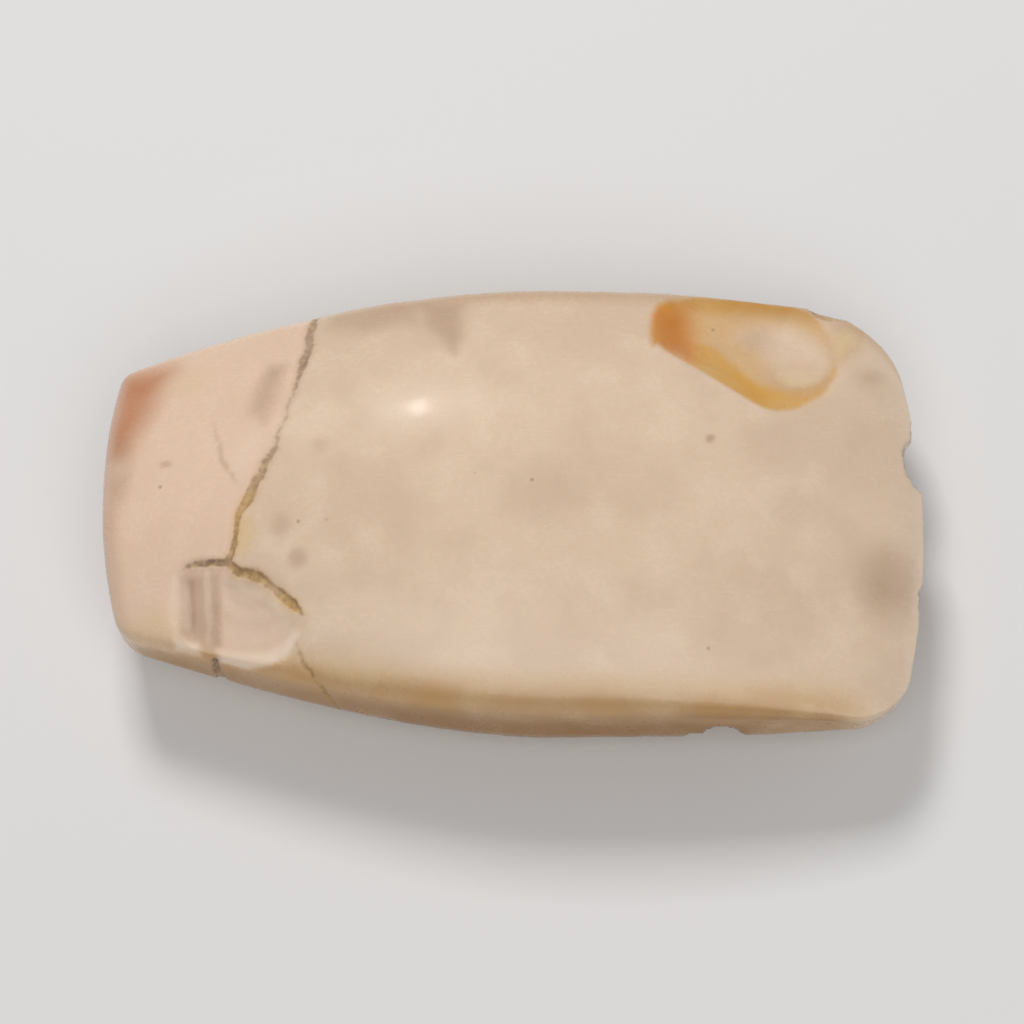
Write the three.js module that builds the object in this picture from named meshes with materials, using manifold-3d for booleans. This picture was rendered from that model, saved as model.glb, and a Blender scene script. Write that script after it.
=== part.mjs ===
// A polished stone axe head with a mended break across the butt, lying on its back face.
//
// Millimetres, +Z up. +X runs from the butt to the cutting edge, +Y to the upper rim, and +Z out
// of the face that shows. The origin is on the surface it lies on, under the middle of its box.
//
// The body is a loft of half-lens sections, which swell from the butt to the middle and thin to
// the cutting edge. Between the two polished faces runs a narrow ground side, on both rims.
// What the stone has lost since, such as flakes, chips and the open part of the break, is cut out.

import * as THREE from "three";
import { mergeVertices } from "three/addons/utils/BufferGeometryUtils.js";
import Module from "manifold-3d";

// Length and thickness
const LENGTH = 120; // butt to the furthest point of the cutting edge
const CROWN_HALF = 14.5; // long axis to the crown of a face, where the stone is thickest
const CROWN_HALF_AT_BUTT = 7.6;
const CROWN_HALF_AT_EDGE = 0.5; // the cutting edge is dulled, not a knife's
const CROWN_AT = 0.47; // where it is thickest, as a share of the length from the butt
const FACE_ROUNDNESS = 2.1; // power of the curve from a face's crown down to its rims

// Half widths in plan, from the long axis out to each rim
const UPPER_REACH = 33.6;
const UPPER_REACH_AT_BUTT = 21.6;
const UPPER_REACH_AT_EDGE = 31;
const UPPER_WIDEST_AT = 0.56;
const LOWER_REACH = 32.4;
const LOWER_REACH_AT_BUTT = 19.9;
const LOWER_REACH_AT_EDGE = 32;
const LOWER_WIDEST_AT = 0.53;

// Ground sides, between the two faces
const SIDE_HALF = 7.2; // half the height of a ground side at mid-length
const SIDE_HALF_AT_BUTT = 3.6;
const SIDE_HALF_AT_EDGE = 0.35;
const SIDE_TALLEST_AT = 0.5;
const ARRIS = 1.4; // softened width of the corner between a face and a side

// Ends in plan
const EDGE_RADIUS = 110; // bow of the cutting edge
const EDGE_DROP = 4; // its middle is this far below the long axis
const BUTT_RADIUS = 100; // bow of the butt
const BUTT_RISE = 6; // its middle is this far above the long axis
const UPPER_EDGE_CORNER = 10; // rounding from the upper rim into the cutting edge
const LOWER_EDGE_CORNER = 7;
const UPPER_BUTT_CORNER = 1.6; // rounding from the upper rim into the butt
const LOWER_BUTT_CORNER = 3;
const BUTT_ROUND = 3.5; // rounding from the faces into the butt

// Flats
const REST_CUT = 0.6; // depth ground off the crown of the back face, where the head lies
const BUTT_CUT = 0.3; // depth worn off the middle of the butt

// Mesh fineness
const FACE_STEPS = 20; // across a face
const ARRIS_STEPS = 2;
const SIDE_STEPS = 2; // over half of a side
const BUTT_STEPS = 4;
const BODY_STEPS = 24;
const CORNER_STEPS = 6;
const FLAKE_STEPS = 40; // around a flake's cutter
const CHIP_STEPS = 12; // around a chip's cutter
const GROOVE_STEPS = 12; // along an open stretch of the break
const GROOVE_SIDES = 8; // around it
const NUDGE = 0.001; // step in a share over which the face's slope is taken

const wasm = await Module();
wasm.setup();

// A size along the length: `butt` at share 0, `most` at share `at` and `edge` at share 1.
function swell({ at, most, butt, edge, buttPower, edgePower }) {
  return (share) =>
    share < at
      ? most - (most - butt) * ((at - share) / at) ** buttPower
      : most - (most - edge) * ((share - at) / (1 - at)) ** edgePower;
}

const crownHalf = swell({
  at: CROWN_AT,
  most: CROWN_HALF,
  butt: CROWN_HALF_AT_BUTT,
  edge: CROWN_HALF_AT_EDGE,
  buttPower: 2,
  edgePower: 2.1,
});
const sideHalf = swell({
  at: SIDE_TALLEST_AT,
  most: SIDE_HALF,
  butt: SIDE_HALF_AT_BUTT,
  edge: SIDE_HALF_AT_EDGE,
  buttPower: 1.6,
  edgePower: 3,
});
const upperRim = swell({
  at: UPPER_WIDEST_AT,
  most: UPPER_REACH,
  butt: UPPER_REACH_AT_BUTT,
  edge: UPPER_REACH_AT_EDGE,
  buttPower: 2.1,
  edgePower: 2.2,
});
const lowerRim = swell({
  at: LOWER_WIDEST_AT,
  most: LOWER_REACH,
  butt: LOWER_REACH_AT_BUTT,
  edge: LOWER_REACH_AT_EDGE,
  buttPower: 1.7,
  edgePower: 2,
});

// How far a quarter circle of radius r has come in, at a distance d from its end.
function roundIn(r, d) {
  const left = Math.max(r - d, 0);
  return r - Math.sqrt(r * r - left * left);
}

// The plan lines of the two ends, at a distance y from the long axis.
function buttLine(y) {
  return BUTT_RADIUS - Math.sqrt(BUTT_RADIUS ** 2 - (y - BUTT_RISE) ** 2);
}
function edgeLine(y) {
  return LENGTH - EDGE_RADIUS + Math.sqrt(EDGE_RADIUS ** 2 - (y + EDGE_DROP) ** 2);
}

// The sizes of the section at a share of the length: rims, crown and side, rounded at the ends.
function sectionAt(share) {
  const fromButt = share * LENGTH;
  const fromEdge = LENGTH - fromButt;
  const upperIn = roundIn(UPPER_BUTT_CORNER, fromButt) + roundIn(UPPER_EDGE_CORNER, fromEdge);
  const lowerIn = roundIn(LOWER_BUTT_CORNER, fromButt) + roundIn(LOWER_EDGE_CORNER, fromEdge);
  const crown = crownHalf(share);
  const thinned = 1 - roundIn(BUTT_ROUND, fromButt) / crown;
  return {
    upper: upperRim(share) - upperIn,
    lower: lowerRim(share) - lowerIn,
    crown: crown * thinned,
    side: sideHalf(share) * thinned,
  };
}

// Height of the face above the mid-plane at a distance y from the long axis.
function faceHeight({ upper, lower, crown, side }, y) {
  const across = Math.abs(y) / (y > 0 ? upper : lower);
  return side + (crown - side) * (1 - across ** FACE_ROUNDNESS);
}

// A point of the upper half of the stone, placed along the length between the two bowed ends.
function place(share, y, z) {
  return new THREE.Vector3(THREE.MathUtils.lerp(buttLine(y), edgeLine(y), share), y, z);
}

// The half section above the mid-plane, from the middle of the lower side over to the upper one.
function halfSection(share) {
  const s = sectionAt(share);
  const arris = Math.min(ARRIS, 0.4 * s.side);
  const half = [];
  const rimPoints = (reach, sign) => {
    const points = [];
    for (let i = 0; i < SIDE_STEPS; i++)
      points.push([sign * reach, ((s.side - arris) * i) / SIDE_STEPS]);
    const foot = new THREE.Vector2(sign * reach, s.side - arris);
    const corner = new THREE.Vector2(sign * reach, s.side);
    const inner = sign * (reach - arris);
    const top = new THREE.Vector2(inner, faceHeight(s, inner));
    const curve = new THREE.QuadraticBezierCurve(foot, corner, top);
    for (const p of curve.getPoints(ARRIS_STEPS)) points.push([p.x, p.y]);
    return points;
  };
  half.push(...rimPoints(s.lower, -1));
  const from = -(s.lower - arris);
  const to = s.upper - arris;
  for (let i = 1; i < FACE_STEPS; i++) {
    const y = THREE.MathUtils.lerp(from, to, i / FACE_STEPS);
    half.push([y, faceHeight(s, y)]);
  }
  half.push(...rimPoints(s.upper, 1).reverse());
  return half.map(([y, z]) => place(share, y, z));
}

// Shares of the length at which the body has a section: close together where an end rounds off.
function stationShares() {
  const shares = [];
  for (let i = 0; i < BUTT_STEPS; i++) {
    const turn = ((Math.PI / 2) * i) / BUTT_STEPS;
    shares.push((BUTT_ROUND * (1 - Math.cos(turn))) / LENGTH);
  }
  const corner = Math.max(UPPER_EDGE_CORNER, LOWER_EDGE_CORNER);
  const from = BUTT_ROUND / LENGTH;
  const to = 1 - corner / LENGTH;
  for (let i = 0; i < BODY_STEPS; i++)
    shares.push(THREE.MathUtils.lerp(from, to, i / BODY_STEPS));
  for (let i = 0; i <= CORNER_STEPS; i++) {
    const turn = ((Math.PI / 2) * i) / CORNER_STEPS;
    shares.push(1 - (corner * (1 - Math.sin(turn))) / LENGTH);
  }
  return shares;
}

// The whole body as ground and polished, before any damage.
function bodyGeometry() {
  const rings = stationShares().map((share) => {
    const half = halfSection(share);
    const below = half.slice(1, -1).map((p) => new THREE.Vector3(p.x, p.y, -p.z));
    return [...half, ...below.reverse()];
  });
  const round = rings[0].length;
  const halfCount = round / 2 + 1;
  const index = [];
  const quad = (a, b, c, d) => index.push(a, b, c, a, c, d);
  for (let r = 0; r + 1 < rings.length; r++) {
    for (let i = 0; i < round; i++) {
      const next = (i + 1) % round;
      quad(r * round + i, (r + 1) * round + i, (r + 1) * round + next, r * round + next);
    }
  }
  // Each end is closed by strips between the points above and below the mid-plane. The first
  // and the last strip come to a point at a side.
  const close = (start, outward) => {
    for (let i = 0; i + 1 < halfCount; i++) {
      const below = start + ((round - i) % round);
      const nextBelow = start + round - i - 1;
      const strip = [...new Set([start + i, start + i + 1, nextBelow, below])];
      if (outward) strip.reverse();
      index.push(strip[0], strip[1], strip[2]);
      if (strip.length === 4) index.push(strip[0], strip[2], strip[3]);
    }
  };
  close(0, false);
  close((rings.length - 1) * round, true);
  const geometry = new THREE.BufferGeometry().setFromPoints(rings.flat());
  geometry.setIndex(index);
  return geometry;
}

// A closed geometry as a solid that can be cut.
function solid(geometry) {
  const bare = geometry.clone();
  bare.deleteAttribute("normal");
  bare.deleteAttribute("uv");
  const merged = mergeVertices(bare);
  return new wasm.Manifold(
    new wasm.Mesh({
      numProp: 3,
      vertProperties: new Float32Array(merged.attributes.position.array),
      triVerts: new Uint32Array(merged.index.array),
    }),
  );
}

// A place on the front face: a share of the length, and a share of the way out to a rim,
// from -1 at the lower rim to 1 at the upper one.
function onFace(share, across) {
  const s = sectionAt(share);
  const y = across * (across > 0 ? s.upper : s.lower);
  return place(share, y, faceHeight(s, y));
}

// The direction along the length, the one towards the upper rim and the outward one, where the
// front face has the given place.
function faceFrame(share, across) {
  const along = onFace(share + NUDGE, across).sub(onFace(share - NUDGE, across)).normalize();
  const over = onFace(share, across + NUDGE).sub(onFace(share, across - NUDGE));
  const out = along.clone().cross(over).normalize();
  return new THREE.Matrix4().makeBasis(along, out.clone().cross(along), out);
}

// Damage follows the head's own size: along it in shares of its length, across it in shares of the
// reach on that side, and into it in shares of its half thickness.

// The large spoon-shaped flake off the upper rim, by the cutting edge.
const RIM_FLAKE = {
  at: [0.804, 0.68],
  long: 0.192,
  wide: 0.476,
  deep: 0.414,
  lift: 0.269,
  turn: -21,
  lean: 5,
};

// The shallow flake off the lower rim, by the break.
const BREAK_FLAKE = {
  at: [0.174, -0.73],
  long: 0.118,
  wide: 0.358,
  deep: 0.276,
  lift: 0.186,
  turn: -10,
  lean: -6,
};

// An ellipsoid that cuts a flake's hollow. Its half axes are long, wide and deep, and its middle
// stands off the face by lift. Turn is its direction on the face and lean tips it to the upper rim.
function flake({ at, long, wide, deep, lift, turn, lean }) {
  const reach = at[1] > 0 ? UPPER_REACH : LOWER_REACH;
  const geometry = new THREE.SphereGeometry(1, FLAKE_STEPS, FLAKE_STEPS / 2);
  geometry.scale(long * LENGTH, deep * CROWN_HALF, wide * reach);
  geometry.rotateX(Math.PI / 2 - THREE.MathUtils.degToRad(lean));
  geometry.rotateZ(THREE.MathUtils.degToRad(turn));
  geometry.translate(0, 0, lift * CROWN_HALF);
  geometry.applyMatrix4(faceFrame(...at).setPosition(onFace(...at)));
  return geometry;
}

// Chips out of the cutting edge: where each is across it, how far it bites and half its width.
const EDGE_CHIPS = [
  { across: 0.37, bite: 0.019, wide: 0.15 },
  { across: 0.62, bite: 0.0075, wide: 0.07 },
];

// Chips off the lower rim's underside and off the upper corner: their place and half axes.
const LOWER_CHIP = { share: 0.745, long: 0.028, deep: 0.124 };
const CORNER_CHIP = { share: 0.915, long: 0.022, deep: 0.083 };

function edgeChip({ across, bite, wide }) {
  const s = sectionAt(1);
  const middle = place(1, across * (across > 0 ? s.upper : s.lower), 0);
  const geometry = new THREE.SphereGeometry(1, CHIP_STEPS, CHIP_STEPS / 2);
  const deep = bite * LENGTH;
  geometry.scale(2 * deep, wide * UPPER_REACH, 2 * deep + CROWN_HALF_AT_EDGE);
  geometry.translate(middle.x + deep, middle.y, middle.z);
  return geometry;
}

// Side is 1 for the upper rim's front corner and -1 for the lower rim's back corner.
function rimChip({ share, long, deep }, side) {
  const s = sectionAt(share);
  const middle = place(share, side * (side > 0 ? s.upper : s.lower), side * s.side);
  const geometry = new THREE.SphereGeometry(1, CHIP_STEPS, CHIP_STEPS / 2);
  geometry.scale(long * LENGTH, deep * CROWN_HALF, deep * CROWN_HALF);
  geometry.translate(middle.x, middle.y, middle.z);
  return geometry;
}

// The stretches of the break that stand open, each a groove through places on the front face.
const FORK = [0.161, -0.468]; // where they meet
const OPEN_BREAKS = [
  { bore: 0.041, route: [[0.2, 0.04], [0.187, -0.09], [0.175, -0.21], [0.17, -0.34], FORK] },
  { bore: 0.055, route: [FORK, [0.199, -0.49], [0.225, -0.572], [0.251, -0.676]] },
  { bore: 0.028, route: [FORK, [0.135, -0.465], [0.113, -0.474]] },
];

function breakGroove({ bore, route }) {
  const line = new THREE.CatmullRomCurve3(route.map((at) => onFace(...at)));
  const round = new THREE.Shape().absarc(0, 0, bore * CROWN_HALF, 0, 2 * Math.PI);
  return new THREE.ExtrudeGeometry(round, {
    steps: GROOVE_STEPS,
    curveSegments: GROOVE_SIDES,
    extrudePath: line,
  });
}

// A slab that trims everything beyond a plane across the given axis.
function trimmingSlab(axis, from) {
  const size = 2 * LENGTH;
  const geometry = new THREE.BoxGeometry(size, size, size);
  const shift = new THREE.Vector3().setComponent(axis, from - size / 2);
  return geometry.translate(shift.x, shift.y, shift.z);
}

function axeHead() {
  const cutters = [
    trimmingSlab(2, REST_CUT - CROWN_HALF),
    trimmingSlab(0, BUTT_CUT),
    flake(RIM_FLAKE),
    flake(BREAK_FLAKE),
    rimChip(LOWER_CHIP, -1),
    rimChip(CORNER_CHIP, 1),
    ...EDGE_CHIPS.map(edgeChip),
    ...OPEN_BREAKS.map(breakGroove),
  ];
  let stone = solid(bodyGeometry());
  for (const cutter of cutters) stone = stone.subtract(solid(cutter));

  const { vertProperties, triVerts } = stone.getMesh();
  const geometry = new THREE.BufferGeometry();
  geometry.setAttribute("position", new THREE.BufferAttribute(vertProperties, 3));
  geometry.setIndex(new THREE.BufferAttribute(triVerts, 1));
  geometry.computeBoundingBox();
  const box = geometry.boundingBox;
  const middle = box.getCenter(new THREE.Vector3());
  geometry.translate(-middle.x, -middle.y, -box.min.z);

  // Facets stay crisp: each triangle has its own normal.
  const faceted = geometry.toNonIndexed();
  faceted.computeVertexNormals();
  return faceted;
}

const polishedStone = new THREE.MeshStandardMaterial({
  color: new THREE.Color().setRGB(0.84, 0.75, 0.66, THREE.SRGBColorSpace),
  roughness: 0.28,
  metalness: 0,
});

const head = new THREE.Mesh(axeHead(), polishedStone);
head.name = "axe_head";

const part = new THREE.Group();
part.name = "polished_axe";
part.add(head);

export default part;
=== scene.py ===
"""A polished stone axe head with a mended break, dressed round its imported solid."""

import math

import bpy
import numpy as np
from mathutils import Matrix, Vector


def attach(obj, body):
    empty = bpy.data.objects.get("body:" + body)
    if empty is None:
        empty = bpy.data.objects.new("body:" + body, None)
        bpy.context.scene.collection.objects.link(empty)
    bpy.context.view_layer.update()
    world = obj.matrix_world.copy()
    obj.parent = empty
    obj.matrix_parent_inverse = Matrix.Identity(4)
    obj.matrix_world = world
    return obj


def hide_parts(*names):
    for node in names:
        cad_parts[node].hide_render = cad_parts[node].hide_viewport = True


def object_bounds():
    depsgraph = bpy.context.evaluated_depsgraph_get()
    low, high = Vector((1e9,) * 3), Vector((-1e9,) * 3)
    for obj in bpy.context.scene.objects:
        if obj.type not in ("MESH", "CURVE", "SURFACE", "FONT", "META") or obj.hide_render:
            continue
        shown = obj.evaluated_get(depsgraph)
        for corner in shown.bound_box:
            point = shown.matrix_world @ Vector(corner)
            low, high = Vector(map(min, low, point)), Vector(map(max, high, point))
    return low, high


bl_info = {
    "name": "Polished Stone Axe Head",
    "version": (1, 0, 0),
    "blender": (4, 5, 0),
    "location": "3D View > Sidebar > Axe Head",
    "description": "Builds a polished stone axe head with a mended break, and a studio for it",
    "category": "Add Mesh",
}

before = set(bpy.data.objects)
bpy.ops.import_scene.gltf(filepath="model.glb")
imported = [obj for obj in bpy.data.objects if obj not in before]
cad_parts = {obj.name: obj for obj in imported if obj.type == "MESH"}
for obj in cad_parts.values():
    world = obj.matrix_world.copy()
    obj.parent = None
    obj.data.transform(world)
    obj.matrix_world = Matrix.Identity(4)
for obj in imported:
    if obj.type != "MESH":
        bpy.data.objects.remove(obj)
CAD_LOW, CAD_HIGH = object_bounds()
NODE = "axe_head"
MM = 0.001

# The ground form, in millimetres: x from the butt to the edge, y to the upper rim, z out of the
# front face. A share is a place along the length, and an across runs from rim to rim, -1 to 1.
LENGTH = 120.0
CROWN = {"at": 0.47, "most": 14.5, "butt": 7.6, "edge": 0.5, "powers": (2.0, 2.1)}
SIDE = {"at": 0.5, "most": 7.2, "butt": 3.6, "edge": 0.35, "powers": (1.6, 3.0)}
UPPER = {"at": 0.56, "most": 33.6, "butt": 21.6, "edge": 31.0, "powers": (2.1, 2.2)}
LOWER = {"at": 0.53, "most": 32.4, "butt": 19.9, "edge": 32.0, "powers": (1.7, 2.0)}
FACE_ROUNDNESS = 2.1
UPPER_ARRIS, LOWER_ARRIS = 2.0, 3.4
EDGE_RADIUS, EDGE_DROP = 110.0, 4.0
BUTT_RADIUS, BUTT_RISE = 100.0, 6.0
UPPER_EDGE_CORNER, LOWER_EDGE_CORNER = 10.0, 7.0
UPPER_BUTT_CORNER, LOWER_BUTT_CORNER, BUTT_ROUND = 1.6, 3.0, 3.5
REST_CUT, BUTT_CUT = 0.6, 0.3
REST_AT = REST_CUT - CROWN["most"]

# How fine the mesh is. A stop is a place and the number of steps from it to the next: BODY_STOPS go
# along the length, as shares, and the others over a face. Rim steps are (round the arris, down the
# side), and rings close the two ends.
BUTT_STATIONS, EDGE_STATIONS = 13, 23
EDGE_FROM = 1 - UPPER_EDGE_CORNER / LENGTH
BODY_STOPS = ((BUTT_ROUND / LENGTH, 14), (0.085, 102), (0.27, 76), (0.66, 78), (EDGE_FROM, 0))
FRONT_STOPS = ((-1, 8), (-0.86, 50), (-0.36, 32), (0.3, 48), (1, 0))
BACK_STOPS = ((-1, 84), (1, 0))
FRONT_RIM_STEPS, BACK_RIM_STEPS = (8, 7), (3, 6)
BUTT_RINGS, EDGE_RINGS = 7, 2

# The two flakes: place, half axes, lift off the face, and turn and lean in degrees. A bank is a
# straight side of the scar: two plan points on its top line, how steeply it goes down to the left
# of the way from one to the other, and how softly it meets the floor. Ripples spread from where the
# blow struck: how high they are against the relief's, how far apart they start, and the seed of the
# floor's unevenness.
RIM_FLAKE = {
    "at": (0.799, 0.68), "axes": (23.6, 16.0, 6.0), "lift": 3.9, "turn": -21, "lean": 5,
    "banks": ((82.0, 22.1, 98.8, 12.0, 0.55, 0.7), (110.0, 33.8, 80.0, 33.8, 0.5, 0.3)),
    "struck_at": (90, 36, 0), "ripple": 1.0, "ripple_size": 2.6, "seed": 3,
}
BREAK_FLAKE = {
    "at": (0.158, -0.714), "axes": (17.2, 13.1, 3.4), "lift": 2.3, "turn": -22, "lean": -1,
    "banks": ((12.4, -22.2, 27.4, -25.3, 0.9, 0.3),),
    "struck_at": (24, -14, 0), "ripple": 0.6, "ripple_size": 2.4, "seed": 7,
}

# Both floors: (height, size) of their unevenness, how softly they meet the face, and how far from the
# blow the ripples are twice as far apart
SCAR_SWELLS = ((0.05, 6.0), (0.015, 2.2))
SCAR_EASE, RIPPLE_SPREAD = 0.3, 40

# Shallow valleys across the left of the break flake, as (x, half width, depth), and how they bow:
# the y where they are furthest left, and millimetres to the right per square millimetre from there
FLAKE_VALLEYS = ((14.9, 1.4, 0.3), (18.0, 0.9, 0.16), (16.5, 0.5, -0.04))
VALLEY_MIDDLE, VALLEY_BOW = -17, 0.006

# Chips: out of the cutting edge (across, bite, half widths below and above) and off the rims
# (share, lower or upper rim, half length, depth, half height), with how uneven their floors are and
# how rounded their outlines
EDGE_CHIPS = ((0.438, 2.2, 6.3, 3.6), (0.62, 0.4, 2.3, 2.3), (-0.55, 0.35, 5.0, 3.0))
RIM_CHIPS = (
    (0.768, -1, 3.1, 2.6, 6.0), (0.733, -1, 2.0, 1.0, 3.4), (0.118, -1, 0.9, 0.8, 5.0),
    (0.932, 1, 3.0, 1.9, 1.9),
)
CHIP_ROUGH, CHIP_EASE = 0.12, 0.15


def swell(share, at, most, butt, edge, powers):
    """A size along the length: butt at share 0, most at share at, edge at share 1."""
    before = np.clip(at - share, 0, None) / at
    after = np.clip(share - at, 0, None) / (1 - at)
    falling = most - (most - butt) * before ** powers[0]
    return np.where(share < at, falling, most - (most - edge) * after ** powers[1])


def round_in(radius, distance):
    """How far a quarter circle has come in, at a distance from its end."""
    left = np.clip(radius - distance, 0, None)
    return radius - np.sqrt(radius**2 - left**2)


def section(share):
    """The sizes of the stone's section at each share of its length."""
    share = np.asarray(share, float)
    from_butt = share * LENGTH
    from_edge = LENGTH - from_butt
    crown = swell(share, **CROWN)
    thinned = 1 - round_in(BUTT_ROUND, from_butt) / crown
    side = swell(share, **SIDE) * thinned
    upper_in = round_in(UPPER_BUTT_CORNER, from_butt) + round_in(UPPER_EDGE_CORNER, from_edge)
    lower_in = round_in(LOWER_BUTT_CORNER, from_butt) + round_in(LOWER_EDGE_CORNER, from_edge)
    return {
        "crown": crown * thinned,
        "side": side,
        "upper": swell(share, **UPPER) - upper_in,
        "lower": swell(share, **LOWER) - lower_in,
        "upper_arris": np.minimum(UPPER_ARRIS, 0.4 * side),
        "lower_arris": np.minimum(LOWER_ARRIS, 0.45 * side),
    }


def face_height(s, y):
    """Height of a face above the mid-plane, at y from the long axis."""
    across = np.abs(y) / np.where(y > 0, s["upper"], s["lower"])
    return s["side"] + (s["crown"] - s["side"]) * (1 - np.minimum(across, 1) ** FACE_ROUNDNESS)


def along(share, y):
    """x of a share of the length, between the bowed butt and the bowed cutting edge."""
    butt = BUTT_RADIUS - np.sqrt(BUTT_RADIUS**2 - (y - BUTT_RISE) ** 2)
    edge = LENGTH - EDGE_RADIUS + np.sqrt(EDGE_RADIUS**2 - (y + EDGE_DROP) ** 2)
    return butt + (edge - butt) * share


def on_stone(share, turn):
    """Places round the stone. Turn goes from -1 to 1 over the front face, on to 3 down the upper
    side, to 5 over the back face and to 7 up the lower side, which is also -3 to -1."""
    share, turn = np.broadcast_arrays(np.asarray(share, float), np.asarray(turn, float))
    turn = np.where(turn < -1, turn + 8, turn)
    s = section(share)
    across = np.where(turn <= 1, turn, np.where(turn <= 3, 1, np.where(turn <= 5, 4 - turn, -1)))
    y = across * np.where(across > 0, s["upper"], s["lower"])
    face = np.where(turn <= 1, 1, -1) * face_height(s, y)
    wall = np.where(turn <= 3, 2 - turn, turn - 6) * s["side"]
    z = np.where((turn <= 1) | ((turn > 3) & (turn <= 5)), face, wall)
    return np.stack([along(share, y), y, z], -1)


def spaced(stops):
    """Values from the first stop to the last, each stop being (value, steps to the next)."""
    runs = [np.linspace(a, b, n, endpoint=False) for (a, n), (b, _) in zip(stops, stops[1:])]
    return np.append(np.concatenate(runs), stops[-1][0])


def station_shares():
    """Shares that have a section, closest together at the break, the flakes and the ends."""
    quarter = math.pi / 2
    butt = BUTT_ROUND * (1 - np.cos(np.linspace(0, quarter, BUTT_STATIONS)[:-1])) / LENGTH
    body = spaced(BODY_STOPS)[:-1]
    edge = 1 - (1 - EDGE_FROM) * (1 - np.sin(np.linspace(0, quarter, EDGE_STATIONS)))
    return np.concatenate([butt, body, edge])


def half_shell(shares, across, arris_steps, side_steps):
    """Points of one half, a row a share, from the lower side's middle over to the upper one's."""
    s = {name: size[:, None] for name, size in section(shares).items()}
    rise = np.linspace(0, 1, side_steps, endpoint=False)[None]
    bend = np.linspace(0, 1, arris_steps + 1)[None]
    rims = []
    for sign, reach, arris in (
        (-1, s["lower"], s["lower_arris"]),
        (1, s["upper"], s["upper_arris"]),
    ):
        inner = sign * (reach - arris)
        foot, top = s["side"] - arris, face_height(s, inner)
        ease = (1 - bend) ** 2, 2 * bend * (1 - bend), bend**2
        arris_y = (ease[0] + ease[1]) * sign * reach + ease[2] * inner
        arris_z = ease[0] * foot + ease[1] * s["side"] + ease[2] * top
        rims.append((np.hstack([sign * reach + 0 * rise, arris_y]), np.hstack([foot * rise, arris_z])))
    inner = across[None, 1:-1]
    lower_flat, upper_flat = s["lower"] - s["lower_arris"], s["upper"] - s["upper_arris"]
    y = inner * np.where(inner < 0, lower_flat, upper_flat)
    z = face_height(s, y)
    (lower_y, lower_z), (upper_y, upper_z) = rims
    y = np.hstack([lower_y, y, upper_y[:, ::-1]])
    z = np.hstack([lower_z, z, upper_z[:, ::-1]])
    return np.stack([along(shares[:, None], y), y, z], -1)


def zip_rows(front, back, points):
    """Triangles between two rows of vertices that share their first and last."""
    made = []
    i = j = 0
    while i < len(front) - 1 or j < len(back) - 1:
        i_next = points[front[i + 1], 1] if i < len(front) - 1 else math.inf
        j_next = points[back[j + 1], 1] if j < len(back) - 1 else math.inf
        if i_next <= j_next:
            made.append((front[i], front[i + 1], back[j]))
            i += 1
        else:
            made.append((front[i], back[j + 1], back[j]))
            j += 1
    return [t for t in made if len(set(t)) == 3]


def rows_between(rows):
    """Quads between rows of vertices, with triangles where two rows share a vertex."""
    made = []
    for a, b in zip(rows, rows[1:]):
        for i in range(len(a) - 1):
            corners = list(dict.fromkeys((a[i], a[i + 1], b[i + 1], b[i])))
            if len(corners) > 2:
                made.append(tuple(corners))
    return made


def grid_quads(rows, flipped):
    """Quads over a grid of vertices, turned over where they are to be flipped."""
    a, b = rows[:-1, :-1], rows[1:, :-1]
    c, d = rows[1:, 1:], rows[:-1, 1:]
    quads = np.stack([d, c, b, a] if flipped else [a, b, c, d], -1)
    return [tuple(quad) for quad in quads.reshape(-1, 4).tolist()]


def rings_in(points, row, rings):
    """Rows of new vertices from an end's rim in to the mid-plane: all the points, and the rows."""
    rows = [row.tolist()]
    rim = points[row]
    for k in range(1, rings + 1):
        ring = rim[1:-1] * (1, 1, 1 - k / (rings + 0.5))
        new = range(len(points), len(points) + len(ring))
        rows.append([rows[0][0], *new, rows[0][-1]])
        points = np.vstack([points, ring])
    return points, rows


def whole_stone():
    """The undamaged stone's vertices and faces, and for each vertex its share."""
    shares = station_shares()
    front = half_shell(shares, spaced(FRONT_STOPS), *FRONT_RIM_STEPS)
    back = half_shell(shares, spaced(BACK_STOPS), *BACK_RIM_STEPS) * (1, 1, -1)
    inner = back[:, 1:-1]
    points = np.vstack([front.reshape(-1, 3), inner.reshape(-1, 3)])
    share_of = np.append(np.repeat(shares, front.shape[1]), np.repeat(shares, inner.shape[1]))
    rows = np.arange(len(points))
    front_count = len(shares) * front.shape[1]
    front_rows = rows[:front_count].reshape(len(shares), -1)
    inner_rows = rows[front_count:].reshape(len(shares), -1)
    back_rows = np.hstack([front_rows[:, :1], inner_rows, front_rows[:, -1:]])
    faces = grid_quads(front_rows, False) + grid_quads(back_rows, True)
    for station, rings, flipped in ((0, BUTT_RINGS, False), (-1, EDGE_RINGS, True)):
        points, front_end = rings_in(points, front_rows[station], rings)
        points, back_end = rings_in(points, back_rows[station], rings)
        share_of = np.append(share_of, np.full(len(points) - len(share_of), shares[station]))
        cap = rows_between(front_end) + [face[::-1] for face in rows_between(back_end)]
        cap += zip_rows(front_end[-1], back_end[-1], points)
        faces += [face[::-1] for face in cap] if flipped else cap
    return points, faces, share_of


def wobble(points, size, seed):
    """Smooth irregularity between about -1 and 1, with swells of about the given size."""
    waves, usual_peak = 7, 2.6
    rng = np.random.default_rng(seed)
    total = np.zeros(len(points))
    for _ in range(waves):
        heading = rng.normal(size=3)
        heading /= np.linalg.norm(heading)
        wave = 2 * math.pi / (size * rng.uniform(0.7, 1.6))
        total += np.sin(points @ heading * wave + rng.uniform(0, 2 * math.pi))
    return total / usual_peak


def lower_of(a, b, ease):
    """The smaller of two heights, with the corner between them rounded by ease."""
    h = np.clip(ease - np.abs(a - b), 0, None) / ease
    return np.minimum(a, b) - h**2 * ease / 4


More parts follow.
